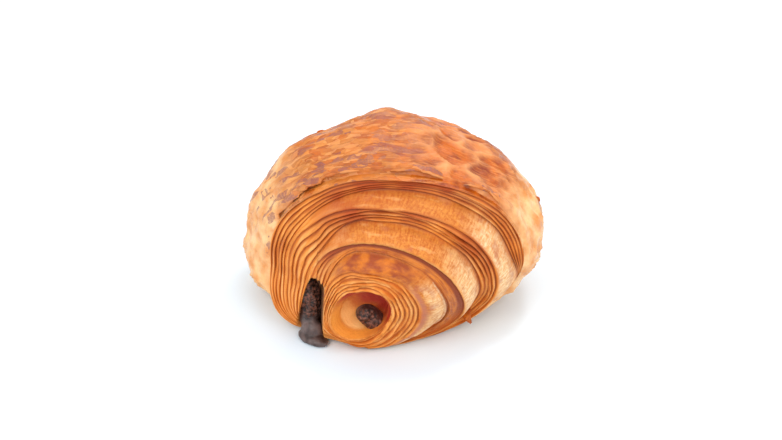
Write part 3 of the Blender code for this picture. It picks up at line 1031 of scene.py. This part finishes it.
core_front = -end_of_baton(CORE_CENTRE, FRONT_SLOPE, CORE_RECESS)
core_back = end_of_baton(before_narrowing(CORE_CENTRE), BACK_SLOPE, CORE_RECESS)
core_ends = [(CORE_CENTRE[0], y, CORE_CENTRE[1]) for y in (core_front, core_back)]
core = voxel_skin([add_bar(CORE_SIZES, CORE_TURN, *core_ends)], "core_baton")
crumble(core, 0.8, 0.12, at_broken_ends)
print("the middle baton ends at y, in mm:", round(core_front, 1), round(core_back, 1))

# %% The baton on the left
SIDE_SIZES = (5.2, 11.0)
SIDE_FRONT = (-24.4, 11.4)
SIDE_BACK = (-17.5, 10.6)
SIDE_STANDS_OUT = 2.6
# Place and half sizes of what melted
TONGUE = ((-24.5, -25.4, 9.4), (3.6, 4.4, 11.0))
ANKLE = ((-23.8, -29.2, 2.4), (3.6, 2.8, 3.6))
PUDDLE = ((-23.5, -31.3, 0.8), (5.5, 3.0, 1.6))
PUDDLE_TURN = math.radians(-38)


def above_foot(points):
    """1 on the baton above its melted foot."""
    return smooth_step((points[:, 2] - 6.5 + 1.5 * lumps(points, 4.0, 151)) / 2.0)


side_back = end_of_baton(before_narrowing(SIDE_BACK), BACK_SLOPE, -SIDE_STANDS_OUT)
side_ends = [
    (SIDE_FRONT[0], TONGUE[0][1], SIDE_FRONT[1]),
    (SIDE_BACK[0], side_back, SIDE_BACK[1]),
]
side_parts = [
    add_bar(SIDE_SIZES, 0.0, *side_ends),
    add_ball(*TONGUE),
    add_ball(*ANKLE, PUDDLE_TURN),
    add_ball(*PUDDLE, PUDDLE_TURN),
]
side = voxel_skin(side_parts, "side_baton")
apply_modifier(side, "SMOOTH", factor=0.5, iterations=14)
crumble(side, 0.7, 0.15, above_foot)
for vertex in side.data.vertices:
    vertex.co.z = max(vertex.co.z, 0.0)
print("batons:", len(core.data.polygons), "and", len(side.data.polygons), "faces")

# %% [markdown]
# ## Colours and nodes
#
# Colours are written as the sRGB values that a colour picker shows, and the renderer needs them
# linear, so one function turns them. Another adds a node with its settings and links, and gives
# back the output that the next node needs. Inputs go by number: a Mix takes its share in 0 and its
# colours in 6 and 7, and a MapRange turns the range from 1 to 2 into the range from 3 to 4, or 0
# to 1. Patterns are drawn in millimetres, either in space or on the unrolled dough, where they
# follow the layers.


# %% Helpers for materials
def colour(hex_value):
    """An sRGB colour such as "#F5B060" as a linear one."""
    parts = [int(hex_value[i : i + 2], 16) / 255 for i in (1, 3, 5)]
    linear = [p / 12.92 if p <= 0.04045 else ((p + 0.055) / 1.055) ** 2.4 for p in parts]
    return (*linear, 1.0)


def add_node(tree, kind, inputs, output=0, **settings):
    """A node with its settings. An input is a value, a colour or the output of another node."""
    node = tree.nodes.new("ShaderNode" + kind)
    for setting, value in settings.items():
        setattr(node, setting, value)
    for key, value in inputs.items():
        if isinstance(value, bpy.types.NodeSocket):
            tree.links.new(value, node.inputs[key])
        else:
            node.inputs[key].default_value = value
    return node.outputs[output]


def new_finish(name):
    """A material with its Principled shader, and the function that adds nodes to it."""
    material = bpy.data.materials.new(name)
    material.use_nodes = True
    tree = material.node_tree
    return material, tree, tree.nodes["Principled BSDF"], functools.partial(add_node, tree)


IN_MM = (1 / MM, 1 / MM, 1 / MM)
PICK = {"data_type": "RGBA", "clamp_factor": True, "output": 2}
EASED = {"interpolation_type": "SMOOTHSTEP"}
TIMES = {"operation": "MULTIPLY"}
PLUS = {"operation": "ADD"}
LARGER = {"operation": "MAXIMUM"}
TIMES_PLUS = {"operation": "MULTIPLY_ADD"}

# %% [markdown]
# ## Baked laminated dough
#
# The cut layers are dry and matt: light tan on their crests, and deep orange in the gaps, where
# the butter fried them. The gaps are also painted darker as shade, and so is the groove where each
# bare face meets the next turn. The bare faces are pale and porous, and paler at the sides, partly
# where they baked least and partly as painted sheen. The crust was brushed with egg, which bakes
# to a glossy orange skin. It is paler on its veins, partly as a painted highlight on their raised
# tops, and low on the sides, partly where it baked least and partly as painted sheen, and
# purple-brown where it caught. The wall of the hole is painted light at its lower left and dark
# red at its upper right, as light and shade. Dough has an index of about 1.45, and only the glaze
# is smooth enough to mirror the lights. Its real pores and fibres are a few tenths of a
# millimetre, too fine to show, so they are drawn about twice as coarse.

# %% Dough: where each look goes
dough, tree, shader, add = new_finish("egg_glazed_laminated_dough")
mask = {name: add("Attribute", {}, "Fac", attribute_name=name) for name in MASKS}
space = add("Mapping", {0: add("TexCoord", {}, "Object"), "Scale": IN_MM})
unrolled = add("Mapping", {0: add("TexCoord", {}, "UV"), "Scale": IN_MM})
bend = add("TexNoise", {0: space, "Scale": 1 / 9, "Detail": 3.0}, "Color")
bend = add("VectorMath", {0: bend, 1: (-0.5, -0.5, -0.5)}, **PLUS)

pores = add("TexNoise", {0: space, "Scale": 1 / 0.8, "Detail": 3.0, "Roughness": 0.75})
mottle = add("TexNoise", {0: space, "Scale": 1 / 4.5, "Detail": 4.0})
along = add("Mapping", {0: unrolled, "Scale": (1 / 5.0, 1 / 0.9, 1)})
fibre = add("TexNoise", {0: along, "Scale": 1.0, "Detail": 3.0})
across = add("Mapping", {0: unrolled, "Scale": (1 / 0.5, 1 / 1.0, 1)})
streaks = add("TexNoise", {0: across, "Scale": 1.0, "Detail": 2.0})

# %% Dough: the cut layers
one_layer = add("Mapping", {0: unrolled, "Scale": (1 / 16, 1 / 2.2, 1)})
one_layer = add("TexNoise", {0: one_layer, "Scale": 1.0, "Detail": 2.0})
share = add("MapRange", {0: fibre, 1: 0.38, 2: 0.62})
crest = add("Mix", {0: share, 6: colour("#F29E46"), 7: colour("#E08428")}, **PICK)
for pattern, start, end, most, tint in (
    (one_layer, 0.5, 0.68, 0.8, "#F4B468"),
    (one_layer, 0.46, 0.3, 0.8, "#C4641C"),
    (mask["toasted"], 0.48, 0.82, 1.0, "#B24A0E"),
):
    share = add("MapRange", {0: pattern, 1: start, 2: end, 4: most})
    crest = add("Mix", {0: share, 6: crest, 7: colour(tint)}, **PICK)
# The valleys are darker than the crests: the fried orange of the gaps, and painted shade in them.
share = add("MapRange", {0: mask["toasted"], 1: 0.3, 2: 0.75})
valley = add("Mix", {0: share, 6: colour("#CA661A"), 7: colour("#8C3A10")}, **PICK)
rise = add("MapRange", {0: mask["up_ridge"], 1: 0.05, 2: 0.85}, **EASED)
cut = add("Mix", {0: rise, 6: valley, 7: crest}, **PICK)

# %% Dough: the bare faces
grain = add("Math", {0: pores, 1: streaks}, **PLUS)
grain = add("MapRange", {0: grain, 1: 0.7, 2: 1.3}, **EASED)
soft = add("Mix", {0: grain, 6: colour("#BA5C10"), 7: colour("#DC8C34")}, **PICK)
soft_pale = add("Mix", {0: grain, 6: colour("#DE944C"), 7: colour("#FADAA8")}, **PICK)
# Paler towards the sides and low down: partly where it baked least, partly painted sheen.
share = add("MapRange", {0: mask["pale"], 1: 0.18, 2: 0.5})
soft = add("Mix", {0: share, 6: soft, 7: soft_pale}, **PICK)
for start, end, most, tint in ((0.52, 0.66, 0.45, "#B8601C"), (0.46, 0.34, 0.4, "#F4C07C")):
    share = add("MapRange", {0: fibre, 1: start, 2: end, 4: most})
    soft = add("Mix", {0: share, 6: soft, 7: colour(tint)}, **PICK)
caught = add("MapRange", {0: mottle, 1: 0.56, 2: 0.68, 4: 0.5})
caught = add("Math", {0: caught, 1: mask["caught"]}, **LARGER)
soft = add("Mix", {0: caught, 6: soft, 7: colour("#B86A50")}, **PICK)

# %% Dough: the glaze with its veins
share = add("MapRange", {0: mottle, 1: 0.4, 2: 0.6})
skin = add("Mix", {0: share, 6: colour("#C86008"), 7: colour("#8E3404")}, **PICK)
share = add("MapRange", {0: fibre, 1: 0.5, 2: 0.7, 4: 0.7})
skin = add("Mix", {0: share, 6: skin, 7: colour("#DE8A3C")}, **PICK)
patchy = add("TexNoise", {0: space, "Scale": 1 / 5, "Detail": 3.0})
patchy = add("MapRange", {0: patchy, 1: 0.35, 2: 0.6, 3: 0.35})
not_pale = add("MapRange", {0: mask["pale"], 1: 0.8, 2: 0.45})
# The veins are painted paler partly as a highlight on their raised tops.
vein = add("Math", {0: mask["vein"], 1: patchy}, **TIMES)
vein = add("Math", {0: vein, 1: not_pale}, **TIMES)
skin = add("Mix", {0: vein, 6: skin, 7: colour("#E89A5A")}, **PICK)

# %% Dough: the long flakes of the glaze
torn = add("VectorMath", {0: bend, 1: (5, 5, 5), 2: unrolled}, **TIMES_PLUS)
torn = add("Mapping", {0: torn, "Scale": (1 / 5.0, 1 / 2.8, 1)})
flake = add("TexVoronoi", {0: torn, "Scale": 1.0}, "Color")
tone = add("SeparateXYZ", {0: flake}, "X")
lift = add("SeparateXYZ", {0: flake}, "Y")
flaked = add("Mix", {0: lift, 6: colour("#C4641A"), 7: colour("#E89A48")}, **PICK)
share = add("Math", {0: mask["flaky"], 1: 0.65}, **TIMES)
skin = add("Mix", {0: share, 6: skin, 7: flaked}, **PICK)
share = add("MapRange", {0: mottle, 1: 0.35, 2: 0.65})
light = add("Mix", {0: share, 6: colour("#FFD092"), 7: colour("#E6954A")}, **PICK)
# Paler low on the sides: partly where it baked least, partly painted sheen.
share = add("MapRange", {0: mask["pale"], 1: 0.45, 2: 0.95, 4: 0.9})
skin = add("Mix", {0: share, 6: skin, 7: light}, **PICK)

# %% Dough: chips of the glaze, and where it caught
chips = add("VectorMath", {0: bend, 1: (4, 4, 4), 2: unrolled}, **TIMES_PLUS)
chips = add("Mapping", {0: chips, "Scale": (1 / 3.4, 1 / 1.7, 1)})
chip = add("SeparateXYZ", {0: add("TexVoronoi", {0: chips, "Scale": 1.0}, "Color")}, "Z")
chipped = add("Math", {0: mask["flaky"], 1: not_pale}, **TIMES)
for start, end, tint in ((0.62, 1.0, "#F2AC68"), (0.4, 0.0, "#94440E")):
    share = add("MapRange", {0: chip, 1: start, 2: end, 4: 0.5})
    share = add("Math", {0: share, 1: chipped}, **TIMES)
    skin = add("Mix", {0: share, 6: skin, 7: colour(tint)}, **PICK)
burnt = add("MapRange", {0: tone, 1: 0.76, 2: 0.78, 4: 0.72})
burnt = add("Math", {0: burnt, 1: mask["flaky"]}, **TIMES)
worn = add("MapRange", {0: pores, 1: 0.3, 2: 0.55, 3: 0.2})
burnt = add("Math", {0: burnt, 1: worn}, **TIMES)
spot = add("Math", {0: mask["caught"], 1: pores, 2: mask["caught"]}, **TIMES_PLUS)
spot = add("MapRange", {0: spot, 1: 0.5, 2: 0.9, 4: 0.8})
burnt = add("Math", {0: burnt, 1: spot}, **LARGER)
skin = add("Mix", {0: burnt, 6: skin, 7: colour("#8E5450")}, **PICK)

# %% Dough: the hole and the fried stretches
# The hole's wall goes from light orange at its lower left, which faces up to the light, to dark
# red at its upper right, which faces down: painted light and shade. The cream of the soft deep
# dough is kept to the lit lower left.
toward_shade = add("VectorMath", {0: space, 1: (0.7, 0, 1)}, "Value", operation="DOT_PRODUCT")
toward_shade = add("Math", {0: mottle, 1: 9.0, 2: toward_shade}, **TIMES_PLUS)
share = add("MapRange", {0: toward_shade, 1: 5.0, 2: 17.5}, **EASED)
cup = add("Mix", {0: share, 6: colour("#F09838"), 7: colour("#A82400")}, **PICK)
cream = add("MapRange", {0: toward_shade, 1: 12.0, 2: 3.0})
cream = add("Math", {0: cream, 1: mask["pale"]}, **TIMES)
cup = add("Mix", {0: cream, 6: cup, 7: colour("#FCBE74")}, **PICK)
fried = add("Math", {0: mask["fried"], 1: rise}, **TIMES)
butter = add("Math", {0: mottle, 1: fibre}, **PLUS)
share = add("MapRange", {0: butter, 1: 0.85, 2: 1.15})
butter = add("Mix", {0: share, 6: colour("#CE6E0C"), 7: colour("#9C4006")}, **PICK)

# %% Dough: all its colours
slot_shade = add("Math", {0: mask["in_slot"], 1: 0.85}, **TIMES)
base = cut
for share, layer in (
    (mask["bare"], soft),
    (fried, butter),
    (mask["glazed"], skin),
    (mask["funnel"], cup),
    (slot_shade, colour("#41241A")),
):
    base = add("Mix", {0: share, 6: base, 7: layer}, **PICK)
tree.links.new(base, shader.inputs["Base Color"])

# %% Dough: its gloss and its fine relief
gloss = add("Math", {0: mask["fried"], 1: 0.5}, **TIMES)
gloss = add("Math", {0: mask["glazed"], 1: gloss}, **LARGER)
tree.links.new(add("MapRange", {0: gloss, 3: 0.62, 4: 0.23}), shader.inputs["Roughness"])
for name, value in (
    ("IOR", 1.45),
    ("Metallic", 0.0),
    ("Sheen Weight", 0.02),
    ("Sheen Roughness", 0.4),
    ("Sheen Tint", (1.0, 0.9, 0.86, 1)),
):
    shader.inputs[name].default_value = value
fine = add("Math", {0: pores, 1: fibre}, **PLUS)
steps = add("Math", {0: lift, 1: mask["flaky"]}, **TIMES)
edges = add("Math", {0: chip, 1: chipped}, **TIMES)
steps = add("Math", {0: edges, 1: 0.6, 2: steps}, **TIMES_PLUS)
steps = add("Math", {0: steps, 1: mask["glazed"]}, **TIMES)
height = add("Math", {0: fine, 1: 0.35, 2: steps}, **TIMES_PLUS)
bump = add("Bump", {"Height": height, "Strength": 0.85, "Distance": 0.8 * MM})
tree.links.new(bump, shader.inputs["Normal"])

# %% [markdown]
# ## Dark chocolate
#
# Baked chocolate is near black and waxy where it set smooth, with a grey bloom of cocoa butter,
# and browner and dull where it broke into crumbs. Its index is about 1.5, and it is never a metal.

# %% Chocolate
chocolate, tree, shader, add = new_finish("baked_dark_chocolate")
broken = add("Attribute", {}, "Fac", attribute_name="broken")
space = add("Mapping", {0: add("TexCoord", {}, "Object"), "Scale": IN_MM})
crumbs = add("TexNoise", {0: space, "Scale": 1 / 0.9, "Detail": 3.0, "Roughness": 0.7})
bloom = add("TexNoise", {0: space, "Scale": 1 / 3.0, "Detail": 3.0})
share = add("MapRange", {0: bloom, 1: 0.35, 2: 0.7})
waxy = add("Mix", {0: share, 6: colour("#32201C"), 7: colour("#76625E")}, **PICK)
share = add("MapRange", {0: crumbs, 1: 0.42, 2: 0.66})
rubble = add("Mix", {0: share, 6: colour("#1C0D09"), 7: colour("#8A5440")}, **PICK)
tree.links.new(add("Mix", {0: broken, 6: waxy, 7: rubble}, **PICK), shader.inputs["Base Color"])
tree.links.new(add("MapRange", {0: broken, 3: 0.36, 4: 0.5}), shader.inputs["Roughness"])
shader.inputs["IOR"].default_value = 1.5
bump = add("Bump", {"Height": crumbs, "Strength": 0.6, "Distance": 0.4 * MM})
tree.links.new(bump, shader.inputs["Normal"])

# %% [markdown]
# ## The white sweep
#
# A matt white card, as under the photograph. Its brightener leans it a little to blue, which takes
# the orange out of the shadow under the roll.

# %% Card
card, tree, shader, add = new_finish("matt_white_card")
shader.inputs["Base Color"].default_value = colour("#E4F2FC")
shader.inputs["Roughness"].default_value = 0.9
floor.data.materials.append(card)

# %% [markdown]
# ## Each piece in its place
#
# Each piece stands for one solid of the frame and moves with it. The piece and its solid take the
# same finish, and the solid is hidden, because it doesn't show.

# %% Pieces and nodes
for piece, node, slot, finish in (
    (roll, "rolled_dough", "baked_dough", dough),
    (core, "chocolate_core", "dark_chocolate", chocolate),
    (side, "chocolate_side", "dark_chocolate", chocolate),
    (flakes, None, "baked_dough", dough),
):
    piece.data.materials.clear()
    piece.data.materials.append(finish)
    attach(piece, "root")
    if node:
        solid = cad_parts[node]
        solid.data.materials.clear()
        solid.data.materials.append(finish)
        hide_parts(node)
